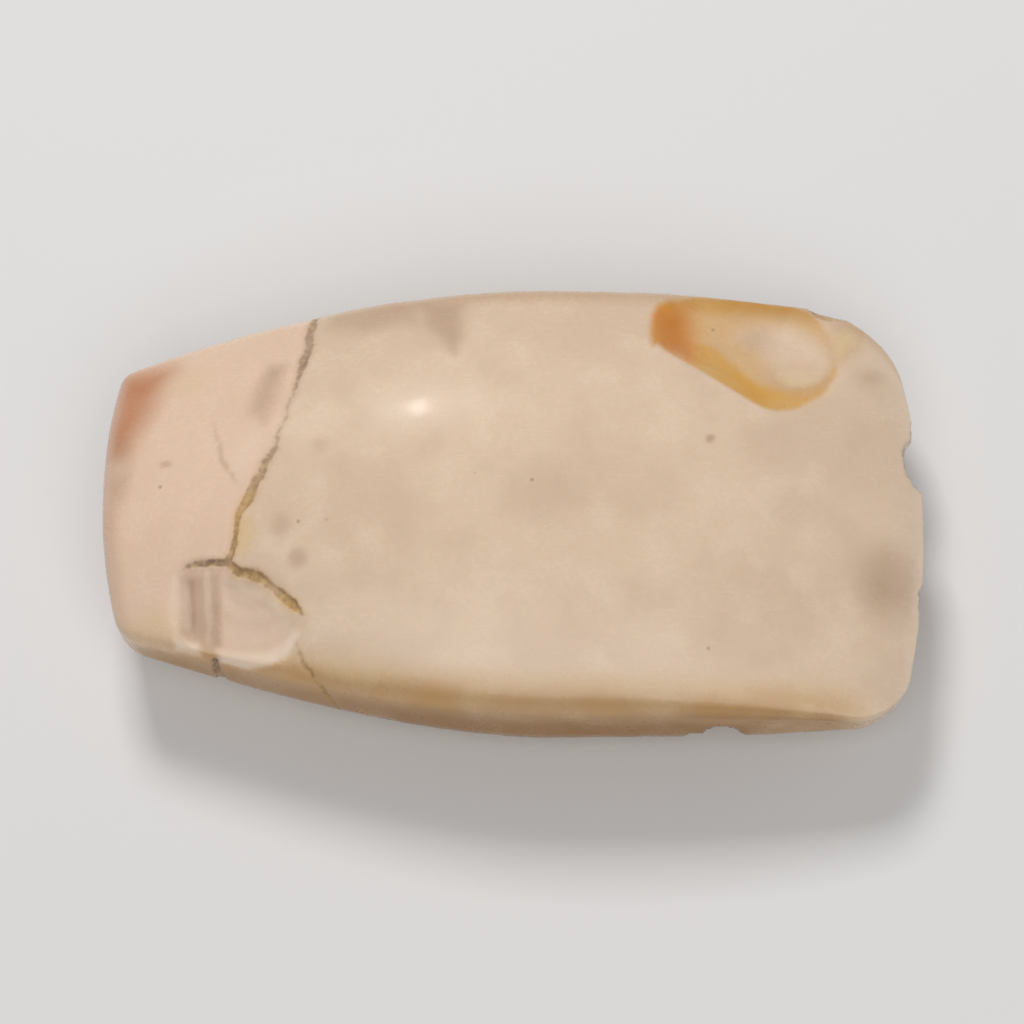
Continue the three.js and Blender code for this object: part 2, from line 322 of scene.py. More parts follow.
def smooth(low, high, value):
    """0 at low and beyond it, 1 at high and beyond it, with an eased climb between."""
    t = np.clip((value - low) / (high - low), 0, 1)
    return t * t * (3 - 2 * t)


def flake_axes(at, turn, lean):
    """The long, the wide and the deep direction of a flake, as columns."""
    share, across = at
    nudge = 0.001
    ahead = on_stone(share + nudge, across) - on_stone(share - nudge, across)
    over = on_stone(share, across + nudge) - on_stone(share, across - nudge)
    ahead /= np.linalg.norm(ahead)
    out = np.cross(ahead, over)
    out /= np.linalg.norm(out)
    face = np.stack([ahead, np.cross(out, ahead), out], 1)
    t, tip = math.radians(turn), math.radians(lean)
    long_way = face @ (math.cos(t), math.sin(t), 0)
    deep_way = face @ (-math.sin(t) * math.sin(tip), math.cos(t) * math.sin(tip), math.cos(tip))
    return np.stack([long_way, np.cross(deep_way, long_way), deep_way], 1), out


def strike_flake(points, flake, ripple):
    """Sinks the points under a flake's hollow, in place, and says how deep each has gone."""
    axes, out = flake_axes(flake["at"], flake["turn"], flake["lean"])
    middle = on_stone(*flake["at"]) + out * flake["lift"]
    a, b, height = ((points - middle) @ axes).T
    long_half, wide_half, deep_half = flake["axes"]
    inside = 1 - (a / long_half) ** 2 - (b / wide_half) ** 2
    floor = -deep_half * np.sign(inside) * np.sqrt(np.abs(inside))
    reach = np.linalg.norm((points - flake["struck_at"])[:, :2], axis=1)
    waves = np.cos(2 * math.pi * reach / (flake["ripple_size"] * (1 + reach / RIPPLE_SPREAD)))
    floor += ripple * flake["ripple"] * waves
    for k, (high, size) in enumerate(SCAR_SWELLS):
        floor += high * wobble(points, size, flake["seed"] + k)
    depth = height - lower_of(height, floor, SCAR_EASE)
    for x0, y0, x1, y1, steep, ease in flake["banks"]:
        ahead = np.array([x1 - x0, y1 - y0]) / math.hypot(x1 - x0, y1 - y0)
        from_top = (points[:, 1] - y0) * ahead[0] - (points[:, 0] - x0) * ahead[1]
        depth = np.clip(lower_of(depth, steep * from_top, ease), 0, None)
    points -= depth[:, None] * axes[:, 2]
    return depth


def score_valleys(points, depth):
    """Presses the shallow valleys into the break flake, fading towards its outline."""
    within = smooth(0.1, 0.5, depth)
    bend = VALLEY_BOW * (points[:, 1] - VALLEY_MIDDLE) ** 2 + 0.12 * wobble(points, 3.0, 13)
    for x, half, deep in FLAKE_VALLEYS:
        points[:, 2] -= deep * within * np.exp(-(((points[:, 0] - x - bend) / half) ** 2))


def chip_edge(points, across, bite, wide_below, wide_above):
    """Bites a shell-shaped chip out of the cutting edge."""
    middle = on_stone(1.0, across)
    x = middle[0] + bite
    y, z = points[:, 1] - middle[1], points[:, 2]
    half_wide = np.where(y < 0, wide_below, wide_above)
    rough = CHIP_ROUGH * wobble(points, 1.6, 5)
    inside = 1 - (y / half_wide) ** 2 - (z / (2 * bite + CROWN["edge"])) ** 2
    face = x - 2 * bite * np.sqrt(np.clip(inside, 0, None)) + rough
    points[:, 0] = np.where(inside > 0, lower_of(points[:, 0], face, CHIP_EASE), points[:, 0])


def chip_rim(points, share, side, half_long, deep, half_high):
    """Takes a small chip off the upper rim's front corner or the lower rim's back one."""
    middle = on_stone(share, 1.0 if side > 0 else 5.0)
    x, z = points[:, 0] - middle[0], points[:, 2] - middle[2]
    rough = CHIP_ROUGH * wobble(points, 1.4, 9)
    inside = 1 - (x / half_long) ** 2 - (z / half_high) ** 2
    face = side * middle[1] - deep * np.sqrt(np.clip(inside, 0, None)) + rough
    out = side * points[:, 1]
    points[:, 1] = np.where(inside > 0, side * lower_of(out, face, CHIP_EASE), points[:, 1])


# The break and its branches: places (share, turn), and at each the half width and the depth of the
# gap in millimetres, how ochre it is rather than grey, and how strongly it shows.
BREAK_LINES = (
    (
        (0.236, 1.9, 0.16, 0.1, 0.0, 0.6),
        (0.243, 1.2, 0.34, 0.2, 0.1, 0.65),
        (0.247, 0.9, 0.62, 0.22, 0.1, 0.7),
        (0.249, 0.8, 0.56, 0.2, 0.05, 0.5),
        (0.246, 0.68, 0.6, 0.22, 0.0, 0.75),
        (0.241, 0.58, 0.24, 0.12, 0.0, 0.6),
        (0.237, 0.49, 0.16, 0.07, 0.0, 0.4),
        (0.229, 0.35, 0.16, 0.06, 0.05, 0.35),
        (0.221, 0.24, 0.2, 0.08, 0.1, 0.45),
        (0.214, 0.14, 0.5, 0.14, 0.15, 0.65),
        (0.206, 0.06, 0.6, 0.14, 0.2, 0.7),
        (0.199, 0.01, 0.7, 0.18, 0.4, 0.7),
        (0.187, -0.09, 0.8, 0.3, 1.0, 0.8),
        (0.181, -0.14, 0.6, 0.3, 1.0, 0.7),
        (0.173, -0.21, 0.36, 0.3, 0.9, 0.9),
        (0.17, -0.33, 0.34, 0.3, 0.8, 0.9),
        (0.158, -0.44, 0.55, 0.3, 0.5, 0.85),
    ),
    (
        (0.158, -0.44, 0.55, 0.3, 0.5, 0.85),
        (0.17, -0.49, 0.75, 0.34, 0.7, 0.9),
        (0.192, -0.504, 0.85, 0.36, 0.75, 0.9),
        (0.203, -0.535, 0.7, 0.3, 0.7, 0.7),
        (0.211, -0.565, 0.6, 0.24, 0.9, 0.45),
        (0.22, -0.592, 0.8, 0.34, 1.0, 0.8),
        (0.232, -0.634, 0.8, 0.36, 1.0, 0.9),
        (0.24, -0.665, 0.4, 0.24, 0.9, 0.8),
        (0.245, -0.685, 0.12, 0.1, 0.6, 0.5),
    ),
    (
        (0.158, -0.44, 0.5, 0.26, 0.3, 0.8),
        (0.14, -0.45, 0.5, 0.22, 0.1, 0.95),
        (0.122, -0.456, 0.45, 0.2, 0.05, 0.9),
        (0.108, -0.48, 0.34, 0.14, 0.0, 0.75),
        (0.1, -0.51, 0.12, 0.08, 0.0, 0.4),
    ),
    (
        (0.229, -0.83, 0.14, 0.05, 0.3, 0.25),
        (0.235, -0.9, 0.34, 0.12, 0.5, 0.5),
        (0.241, -0.97, 0.48, 0.2, 0.7, 0.8),
        (0.248, -1.15, 0.48, 0.2, 0.7, 0.85),
        (0.256, -1.8, 0.36, 0.16, 0.7, 0.8),
        (0.266, -2.6, 0.2, 0.12, 0.5, 0.6),
        (0.262, -3.1, 0.16, 0.1, 0.3, 0.5),
        (0.252, -3.4, 0.14, 0.08, 0.2, 0.5),
        (0.236, -3.75, 0.14, 0.08, 0.1, 0.5),
        (0.242, -4.1, 0.16, 0.08, 0.2, 0.5),
        (0.226, -4.45, 0.14, 0.08, 0.1, 0.4),
        (0.241, -4.8, 0.16, 0.08, 0.1, 0.5),
        (0.236, -5.2, 0.16, 0.08, 0.1, 0.6),
        (0.236, -6.1, 0.16, 0.1, 0.1, 0.6),
    ),
    (
        (0.122, -0.985, 0.3, 0.2, 0.1, 0.8),
        (0.119, -1.15, 0.55, 0.5, 0.0, 1.0),
        (0.116, -2.0, 0.5, 0.4, 0.0, 1.0),
        (0.12, -2.9, 0.3, 0.2, 0.0, 0.7),
        (0.125, -3.2, 0.1, 0.05, 0.0, 0.3),
    ),
    (
        (0.14, 0.4, 0.14, 0.02, 0.0, 0.06),
        (0.149, 0.27, 0.3, 0.04, 0.0, 0.18),
        (0.159, 0.12, 0.36, 0.05, 0.0, 0.24),
        (0.17, 0.05, 0.3, 0.04, 0.1, 0.18),
        (0.182, 0.0, 0.1, 0.02, 0.2, 0.06),
    ),
)

# Shares between which the break lies, the distance given to what is beyond them, how far apart the
# samples along its lines are, and in how many batches the vertices are measured from them
BREAK_FROM, BREAK_TO, FAR_OFF = 0.05, 0.32, 50.0
SAMPLE_STEP, BATCHES = 0.2, 40


def break_samples():
    """Points along the break's lines, each with the last four numbers of BREAK_LINES there."""
    made = []
    for k, line in enumerate(BREAK_LINES):
        knots = np.array(line)
        points = on_stone(knots[:, 0], knots[:, 1])
        run = np.concatenate([[0], np.cumsum(np.linalg.norm(np.diff(points, axis=0), axis=1))])
        steps = np.arange(0, run[-1], SAMPLE_STEP)
        values = np.stack([np.interp(steps, run, column) for column in knots.T], -1)
        flat = np.stack([steps, 0 * steps, 0 * steps], -1)
        ends = np.minimum(steps, run[-1] - steps)
        stray = 0.2 * wobble(flat, 3.6, 20 + k) + 0.08 * wobble(flat, 1.2, 30 + k)
        stray *= smooth(0, 3, ends)
        placed = on_stone(values[:, 0] + stray / LENGTH, values[:, 1])
        made.append(np.hstack([placed, values[:, 2:]]))
    return np.concatenate(made)


def break_distance(points, share_of):
    """For each vertex: its distance from the nearest break line, and that line's values there."""
    samples = break_samples()
    distance = np.full(len(points), FAR_OFF)
    values = np.zeros((len(points), 4))
    near = np.where((share_of > BREAK_FROM) & (share_of < BREAK_TO))[0]
    for part in np.array_split(near, BATCHES):
        gaps = np.linalg.norm(points[part, None] - samples[None, :, :3], axis=2)
        best = gaps.argmin(1)
        distance[part] = gaps[np.arange(len(part)), best]
        values[part] = samples[best, 3:]
    return distance, values


def inside_of(points, outline, ease):
    """1 inside an outline on the front face, in plan, and 0 outside, blended ease to each side."""
    corners = np.array(outline, float)
    x, y = points[:, 0], points[:, 1]
    nearest = np.full(len(points), math.inf)
    inside = np.zeros(len(points), bool)
    for (ax, ay), (bx, by) in zip(corners, np.roll(corners, -1, 0)):
        dx, dy = bx - ax, by - ay
        t = np.clip(((x - ax) * dx + (y - ay) * dy) / (dx * dx + dy * dy), 0, 1)
        nearest = np.minimum(nearest, np.hypot(x - ax - t * dx, y - ay - t * dy))
        if dy:
            inside ^= ((ay > y) != (by > y)) & (x < (y - ay) * dx / dy + ax)
    distance = np.where(inside, -nearest, nearest)
    return smooth(ease, -ease, distance) * (points[:, 2] > 0)


def spot(points, x, y, half_x, half_y, turn, ease):
    """1 inside a soft ellipse on the front face, in plan, falling to 0 outside it."""
    t = math.radians(turn)
    dx, dy = points[:, 0] - x, points[:, 1] - y
    u = (dx * math.cos(t) + dy * math.sin(t)) / half_x
    v = (dy * math.cos(t) - dx * math.sin(t)) / half_y
    return smooth(1 + ease, 1 - ease, np.hypot(u, v)) * (points[:, 2] > 0)


# Outlines on the front face, in plan: (x, y) in millimetres
RIM_LENS = (
    (93.2, 27.4), (97.0, 28.8), (100.6, 29.2), (103.3, 27.9), (105.6, 25.6), (106.8, 23.2),
    (106.2, 21.4), (104.2, 19.7), (101.4, 19.6), (99.3, 20.8), (97.2, 22.6), (95.2, 24.8), (93.0, 26.0),
)
RIM_RED_END = ((80.2, 30.4), (80.4, 23.0), (83.1, 20.6), (86.6, 21.2), (86.8, 25.2), (85.8, 30.2))
RED_SHOULDER = (
    (80.9, 23.0), (80.4, 25.0), (80.5, 28.4), (81.3, 30.5), (83.0, 31.5), (86.5, 31.9), (90.0, 31.9),
    (90.0, 29.0), (84.0, 25.0),
)
RIM_LOW_BAND = (
    (84.0, 25.2), (89.4, 24.4), (92.0, 22.2), (94.0, 20.0), (96.4, 18.0), (99.8, 17.6), (103.3, 18.4),
    (106.0, 20.8), (107.2, 23.8), (109.8, 22.6), (108.8, 19.0), (106.4, 15.4), (103.4, 12.6),
    (100.7, 11.6), (98.1, 11.4), (92.4, 14.2), (85.8, 18.4),
)
RIM_TOP_BAND = (
    (84.0, 33.5), (84.0, 29.6), (90.0, 30.0), (96.0, 31.0), (102.0, 31.2), (106.5, 29.4), (108.0, 33.5),
)
STRAW_CORNER = (
    (106.2, 27.4), (108.4, 29.4), (111.4, 28.8), (111.0, 25.9), (108.9, 23.6), (107.0, 21.4), (106.6, 24.2),
)
RED_CORNER = (
    (0.8, 21.4), (5.0, 21.4), (9.6, 21.0), (8.4, 18.6), (7.0, 14.0), (4.8, 9.2), (3.4, 5.6), (0.8, 5.8),
)
BREAK_FLAKE_OUTLINE = (
    (11.6, -10.0), (32.0, -10.0), (31.8, -19.0), (31.0, -21.8), (29.3, -24.3), (26.6, -25.5),
    (22.8, -25.5), (18.9, -24.6), (12.0, -22.8),
)
# Painted highlights: the pale lips along the bottom of the break flake, where it faces the light
HIGHLIT_LIPS = (
    (
        (18.9, -23.2), (23.0, -23.7), (26.4, -23.5), (28.6, -22.6), (29.9, -21.2),
        (31.0, -21.4), (29.2, -24.2), (26.6, -25.4), (22.8, -25.4), (18.9, -24.4),
    ),
    ((12.0, -20.8), (14.0, -21.5), (15.8, -21.9), (16.0, -23.2), (12.4, -22.4)),
)
PALE_SCAR = ((19.9, -13.4), (28.0, -16.4), (30.0, -22.0), (20.2, -23.0))
FILLED_BREAK = ((21.9, -5.0), (24.0, -4.4), (24.4, -6.4), (23.8, -9.0), (22.8, -10.6), (21.6, -10.2))

# Soft spots on the front face: (x, y, half x, half y, turn in degrees, blend)
YELLOW_SPOT = (102.2, 20.0, 4.4, 2.2, 5, 0.9)
LOWER_BUTT_SPOT = (9.4, -19.4, 3.0, 2.2, 20, 0.7)
UPPER_BUTT_SPOT = (12.6, 18.2, 2.8, 1.9, 10, 0.9)
PALE_SPOT = (22.0, 5.2, 1.8, 3.6, -20, 0.8)

# Grey smudges and painted shade, each with its strength first: outlines with their blend, and spots
GREYED_OUTLINES = (
    (0.4, ((33.0, 30.5), (32.6, 26.8), (38.0, 25.6), (43.0, 26.8), (47.0, 26.2), (46.0, 31.0)), 2.0),
    (0.5, ((45.8, 31.0), (47.2, 26.4), (49.8, 23.2), (52.0, 21.0), (53.0, 24.0), (52.2, 30.4)), 1.5),
    (0.38, ((24.6, 20.2), (26.8, 20.2), (26.0, 14.0), (24.6, 10.0), (22.0, 12.0), (22.8, 16.0)), 1.9),
    # Painted shade with some grey stone: the next two rows are the streaks on the sides of the break
    # flake's valleys, and the fourth row its left part, shaded by the flake's left bank
    (0.7, ((13.7, -12.8), (15.6, -12.8), (15.9, -17.4), (15.7, -20.8), (14.2, -20.4), (13.8, -16.6)), 1.1),
    (0.5, ((17.3, -13.8), (18.4, -13.8), (18.6, -16.0), (18.4, -18.0), (17.7, -18.0), (17.4, -16.0)), 0.9),
    (0.16, ((19.8, -13.8), (26.6, -16.4), (28.4, -20.8), (26.0, -22.2), (20.2, -22.4)), 1.2),
    (0.44, ((12.9, -12.4), (19.0, -12.6), (19.4, -22.4), (16.6, -23.4), (12.9, -21.4)), 0.8),
    (0.5, ((16.2, -21.6), (18.5, -22.2), (18.6, -24.4), (16.4, -23.8)), 0.7),
    (0.2, ((60.5, 0.5), (68.0, 2.5), (71.5, -3.0), (66.0, -6.5), (60.0, -5.0)), 3.0),
)
GREYED_SPOTS = (
    (0.4, 30.7, -11.2, 1.3, 1.3, 0, 0.7),
    (0.25, 28.0, -6.2, 1.4, 1.6, 0, 0.7),
    (0.22, 33.2, 5.8, 1.2, 1.2, 0, 0.7),
    (0.6, 89.4, 7.8, 0.7, 0.55, 20, 0.6),
    (0.4, 10.2, 4.3, 0.9, 0.5, 0, 0.6),
    (0.54, 114.6, -11.2, 3.9, 4.8, 0, 0.9),
    (0.36, 112.6, 20.8, 1.9, 1.4, 15, 0.8),
    (0.25, 95.6, 26.0, 2.6, 2.2, -20, 0.9),
    (0.3, 3.2, 4.0, 1.8, 4.6, 0, 0.8),
    (0.1, 101.0, -2.4, 3.0, 3.0, 0, 0.8),
)

# Where the break crosses, as (y, x), which parts the pinker butt from the rest
BUTT_LINE = ((-24, 29.5), (-18, 27), (-14, 20), (-4, 22), (3, 25.0), (15, 28.4), (30, 30.2))


def most_of(points, parts):
    """The strongest of several (strength, soft place) pairs at each vertex."""
    total = np.zeros(len(points))
    for strength, place in parts:
        total = np.maximum(total, strength * place)
    return total


class Places:
    """Where the vertices are on the stone: how far out to the rims, up the sides or on the face."""

    def __init__(self, points, share_of):
        s = section(share_of)
        self.points = points
        self.share = share_of
        self.crown, self.side = s["crown"], s["side"]
        self.x, self.y, z = points.T
        self.outer = np.abs(self.y) / np.where(self.y > 0, s["upper"], s["lower"])
        self.below_arris = z - s["side"]
        self.on_face = smooth(-1.8, -0.8, self.below_arris)
        self.up_side = z / np.maximum(s["side"], 0.1)
        self.height = np.abs(self.up_side)


def highlit_lip(at):
    """A painted highlight on the pale lip along the bottom of the break flake, where it faces the light."""
    lip = most_of(at.points, [(1.0, inside_of(at.points, outline, 1.1)) for outline in HIGHLIT_LIPS])
    lip = np.minimum(1.3 * lip, 1) * inside_of(at.points, BREAK_FLAKE_OUTLINE, 0.2)
    return lip * smooth(-1.8, -1.0, at.below_arris) * smooth(1.0, 0.985, at.outer)


def fresh_stone(at, lip, break_depth):
    """Where the lower side's stain and its painted shade are struck off: the break flake, its lip and the
    butt's corner.
    """
    fresh = np.maximum(lip, smooth(0.02, 0.2, break_depth) * at.on_face)
    return np.maximum(fresh, 0.55 * smooth(14, 11, at.x) * smooth(-2.6, -0.8, at.below_arris))


def stain_and_shade_on_sides(at, fresh):
    """How far each vertex is on the stained lower side, whose mask also paints shade where the face turns
    down to the lower rim, and how stained it is on either side.
    """
    # Painted shade as well as stain: the lower side's mask starts on the face at 0.79 of the way out,
    # darkening it as it turns away from the light towards the lower rim.
    low = smooth(0.79, 0.995, at.outer) * (at.y < 0) * (1 - 0.92 * fresh) * smooth(1.2, 4.0, at.side)
    high = smooth(0.95, 0.99, at.outer) * smooth(1.0, 0.7, at.height) * (at.y > 0)
    wall = low + 0.75 * high * smooth(0.8, 3.0, at.side)
    patchy = 0.95 + 0.1 * wobble(at.points, 16.0, 41) + 0.04 * wobble(at.points, 4.0, 42)
    return low, wall * np.clip(patchy, 0.6, 1)


def flake_stain(at, rim_depth):
    """The rim flake's rind, the straw corner and the yellow patch, and the tone of all three."""
    in_rim = smooth(0.03, 0.44, rim_depth)
    lens = inside_of(at.points, RIM_LENS, 2.3 - 0.9 * smooth(98, 106, at.x))
    low_band = inside_of(at.points, RIM_LOW_BAND, 0.9) * (1 - 0.3 * smooth(92, 100, at.x))
    red_end = inside_of(at.points, RIM_RED_END, 3.1)
    top_band = inside_of(at.points, RIM_TOP_BAND, 1.2)
    strongest = np.maximum(np.maximum(low_band, red_end), 0.8 * top_band)
    rind = in_rim * (1 - 0.93 * lens) * (0.6 + 0.36 * strongest)
    shoulder = 0.93 * inside_of(at.points, RED_SHOULDER, 0.8) * at.on_face
    rind = np.maximum(rind, shoulder * (1 - 0.4 * smooth(83, 88, at.x)))
    straw = inside_of(at.points, STRAW_CORNER, 1.6)
    yellow = spot(at.points, *YELLOW_SPOT) * in_rim
    tone = 0.34 + 0.58 * red_end + 0.06 * low_band + 0.1 * top_band
    tone -= 0.34 * np.maximum(straw, yellow) * (1 - red_end)
    return rind, straw, yellow, tone


def earth_stain_and_shade(at, rim_depth, wall):
    """How strong the earth's stain is, with painted shade on the lower side, and its tone from the palest,
    0, to the strongest, 1.
    """
    rind, straw, yellow, tone = flake_stain(at, rim_depth)
    parts = (
        (1.0, rind),
        (0.6, straw),
        (0.34, yellow),
        # The lower side: its ochre stain, with painted shade where it faces away from the light
        (0.93, wall),
        (0.42, inside_of(at.points, FILLED_BREAK, 0.6)),
        (0.3, spot(at.points, *LOWER_BUTT_SPOT)),
        (0.16, spot(at.points, *UPPER_BUTT_SPOT)),
    )
    wall_tone = wall * (0.15 + 0.03 * wobble(at.points, 7.0, 43))
    tone = np.where(np.maximum(rind, straw) > wall, tone, wall_tone)
    return most_of(at.points, parts), np.clip(tone, 0, 1)


def brown_stain_and_shade(at, low_side_stain_and_shade):
    """How brown the stone is: brown stain with painted shade low on the lower side, darker further down it
    and in a streak there, and a darker band along the upper rim.
    """
    streak = smooth(15.0, 9.0, np.abs(at.x - 97.0)) * np.exp(-(((at.up_side - 0.62) / 0.3) ** 2))
    streak *= 0.8 + 0.2 * wobble(at.points, 5.0, 44)
    # Painted shade: the lower side darkens further down, where it turns away from the light; the rest is
    # its brown stain
    low_down = (0.1 + 0.85 * smooth(1.0, -0.2, at.up_side)) * (0.62 + 0.38 * smooth(26, 52, at.x))
    low_down *= 1 - 0.5 * smooth(93.0, 99.0, at.x) * smooth(0.4, 0.0, at.up_side)
    umber = low_side_stain_and_shade * np.maximum(low_down, 0.85 * streak)
    # A darker band along the upper rim
    upper_rim = smooth(0.87, 0.98, at.outer) * (at.y > 0) * smooth(34, 44, at.x)
    return np.maximum(umber, 0.3 * upper_rim)


def grey_smudges_and_shade(at):
    """How strongly the grey smudges and the painted shade in the break flake show."""
    parts = [(strong, inside_of(at.points, *rest)) for strong, *rest in GREYED_OUTLINES]
    parts += [(strong, spot(at.points, *rest)) for strong, *rest in GREYED_SPOTS]
    return most_of(at.points, parts)


def iron_red(at):
    """How red the butt is: at its upper corner, and weakly along its end."""
    corner = inside_of(at.points, RED_CORNER, 3.4) * smooth(-1.0, 9.0, at.y)
    return most_of(at.points, ((0.95, corner), (0.25, smooth(6, 0.5, at.x))))


def pale_stone_and_highlights(at, lip):
    """How pale the stone is: in the break flake and in a patch above it, with painted highlights on the
    flake's lip and along the cutting edge.
    """
    parts = (
        # Painted highlight on the break flake's lip
        (0.95, lip),
        (0.3, inside_of(at.points, PALE_SCAR, 0.8)),
        (0.3, spot(at.points, *PALE_SPOT)),
        # Painted highlight along the rounded cutting edge
        (0.35, smooth(0.984, 0.998, at.share)),
    )
    return most_of(at.points, parts)


def stone_fields(at, rim_depth, break_depth, gap, at_break):
    """What the stone's material and its relief read at each vertex, by name."""
    lip = highlit_lip(at)
    low_side_stain_and_shade, wall = stain_and_shade_on_sides(at, fresh_stone(at, lip, break_depth))
    stain, tone = earth_stain_and_shade(at, rim_depth, wall)
    arris = smooth(0.92, 0.99, at.outer) * smooth(0.5, 1.0, at.height)
    return {
        "stain": stain,
        "stain_tone": tone,
        "browned_and_shaded": brown_stain_and_shade(at, low_side_stain_and_shade),
        "greyed": grey_smudges_and_shade(at),
        "reddened": iron_red(at),
        "butt_part": smooth(1.0, -1.0, at.x - np.interp(at.y, *np.transpose(BUTT_LINE))),
        "paled_and_highlit": pale_stone_and_highlights(at, lip),
        "break_gap": gap,
        "break_stain": at_break[:, 2],
        "break_shown": at_break[:, 3],
        "thinness": np.exp(-at.crown / 1.6),
        "worn": np.maximum(arris, smooth(4, 0, at.crown)),
    }


def mesh_of(name, points, faces):
    """A smooth mesh of the given points and faces."""
    mesh = bpy.data.meshes.new(name)
    mesh.from_pydata(points.tolist(), [], faces)
    mesh.update()
    mesh.shade_smooth()
    return mesh


def vertex_normals(mesh):
    """The mesh's smooth normals, a row a vertex."""
    normals = np.empty(len(mesh.vertices) * 3)
    mesh.vertices.foreach_get("normal", normals)
    return normals.reshape(-1, 3)


def shift_to_frame(points):
    """How far the ground form's own zero is from the row's, in millimetres."""
    middle = (points[:, 1].max() + points[:, 1].min()) / 2
    cad_middle = (CAD_LOW[1] + CAD_HIGH[1]) / 2 / MM
    return np.array((CAD_LOW[0] / MM - BUTT_CUT, cad_middle - middle, CAD_LOW[2] / MM - REST_AT))


def open_break(points, mesh, relief, fields, distance, at_break):
    """Sinks the break's gap into the points, in place, and sets the mended butt a little lower."""
    half_wide, deep = at_break[:, 0], at_break[:, 1]
    cleft = smooth(1.15, 0.45, distance / np.maximum(half_wide + 0.06, 0.01))
    fading = np.exp(-np.clip(distance - half_wide, 0, None) / 5)
    step = relief.step / MM * fields["butt_part"] * fading
    sink = relief.cleft * deep * cleft + step
    points -= sink[:, None] * vertex_normals(mesh)


def grind_flats(points):
    """Cuts the rest flat and the butt's flat, in place, and says how free of them each vertex is."""
    points[:, 2] = np.maximum(points[:, 2], REST_AT)
    points[:, 0] = np.maximum(points[:, 0], BUTT_CUT)
    return smooth(0, 0.5, points[:, 2] - REST_AT) * smooth(0, 0.4, points[:, 0] - BUTT_CUT)


def damaged_stone(relief):
    """The stone's mesh in the row frame, in metres, with the fields its material reads."""
    points, faces, share_of = whole_stone()
    shift = shift_to_frame(points)
    rim_depth = strike_flake(points, RIM_FLAKE, relief.ripple / MM)
    break_depth = strike_flake(points, BREAK_FLAKE, relief.ripple / MM)
    score_valleys(points, break_depth)
    for chip in EDGE_CHIPS:
        chip_edge(points, *chip)
    for chip in RIM_CHIPS:
        chip_rim(points, *chip)
    distance, at_break = break_distance(points, share_of)
    gap = distance - at_break[:, 0]
    fields = stone_fields(Places(points, share_of), rim_depth, break_depth, gap, at_break)
    mesh = mesh_of("axe_head_stone", points, faces)
    open_break(points, mesh, relief, fields, distance, at_break)
    fields["free"] = grind_flats(points)
    mesh.vertices.foreach_set("co", ((points + shift) * MM).ravel())
    for name, values in fields.items():
        attribute = mesh.attributes.new(name, "FLOAT", "POINT")
        attribute.data.foreach_set("value", values.astype(np.float32))
    mesh.update()
    return mesh


class Net:
    """Adds nodes to a tree and joins them."""

    split_colour = "FunctionNodeSeparateColor"

    def __init__(self, tree):
        self.tree = tree

    def add(self, kind, settings=None, **inputs):
        """A node with the given settings, its sockets given by name or, as i0, i1, by place."""
        node = self.tree.nodes.new(kind)
        for name, value in (settings or {}).items():
            setattr(node, name, value)
        for name, value in inputs.items():
            by_place = name[0] == "i" and name[1:].isdigit()
            self.join(value, node.inputs[int(name[1:]) if by_place else name.replace("_", " ")])
        return node

    def join(self, value, socket):
        """Links a socket's value, or sets a plain one."""
        if isinstance(value, bpy.types.NodeSocket):
            self.tree.links.new(value, socket)
        else:
            socket.default_value = value

    def maths(self, operation, a, b):
        """The result of an operation on two values."""
        return self.add("ShaderNodeMath", {"operation": operation}, i0=a, i1=b).outputs[0]

    def times(self, a, b):
        """The product of two values."""
        return self.maths("MULTIPLY", a, b)

    def sum_of(self, first, *others):
        """The sum of the values."""
        for other in others:
            first = self.maths("ADD", first, other)
        return first

    def between(self, value, low, high, to_low=0.0, to_high=1.0):
        """The value from low to high, eased and carried over to another range."""
        settings = {"interpolation_type": "SMOOTHSTEP"}
        return self.add(
            "ShaderNodeMapRange", settings, i0=value, i1=low, i2=high, i3=to_low, i4=to_high
        ).outputs[0]

    def dots(self, place, scale, ends, full, left_out):
        """1 in round dots, one to a cell but for the share of cells left out, and 0 round them."""
        cells = self.add("ShaderNodeTexVoronoi", Vector=place, Scale=scale)
        pick = self.add(self.split_colour, Color=cells.outputs["Color"]).outputs[0]
        dot = self.between(cells.outputs["Distance"], ends, full)
        return self.times(dot, self.maths("GREATER_THAN", pick, left_out))


class Paint(Net):
    """A net of shader nodes, with the ones that a stone needs often."""

    split_colour = "ShaderNodeSeparateColor"

    def field(self, name):
        """One of the mesh's fields."""
        return self.add("ShaderNodeAttribute", {"attribute_name": name}).outputs["Fac"]

    def noise(self, place, size, detail=1.0):
        """Smooth noise from 0 to 1, with swells of the given size in metres."""
        return self.add("ShaderNodeTexNoise", Vector=place, Scale=1 / size, Detail=detail).outputs["Fac"]

    def mix(self, amount, under, over, blend="MIX"):
        """One colour over another."""
        settings = {"data_type": "RGBA", "blend_type": blend, "clamp_factor": True}
        return self.add("ShaderNodeMix", settings, i0=amount, i6=under, i7=over).outputs[2]

    def ramp(self, value, stops):
        """Colours along a value, from stops of (place, colour)."""
        node = self.add("ShaderNodeValToRGB", Fac=value)
        line = node.color_ramp
        while len(line.elements) < len(stops):
            line.elements.new(0.5)
        for element, (place, colour) in zip(line.elements, stops):
            element.position = place
            element.color = tint(colour)
        return node.outputs["Color"]


# The patterns in the material, in metres: the slow clouds, the mottling, the grain, the cells that
# may hold a speck, and the length and depth of the scratches
CLOUD_SIZE, MOTTLE_SIZE, GRAIN_SIZE, SPECK_CELL = 0.021, 0.0065, 0.0009, 0.0042
SCRATCH_LENGTH, SCRATCH_DEPTH = 0.006, 0.000005

# Where the earth stain's shades stand on its tone, from lemon to burnt
SHADE_STOPS = (0.0, 0.14, 0.4, 0.7, 1.0)

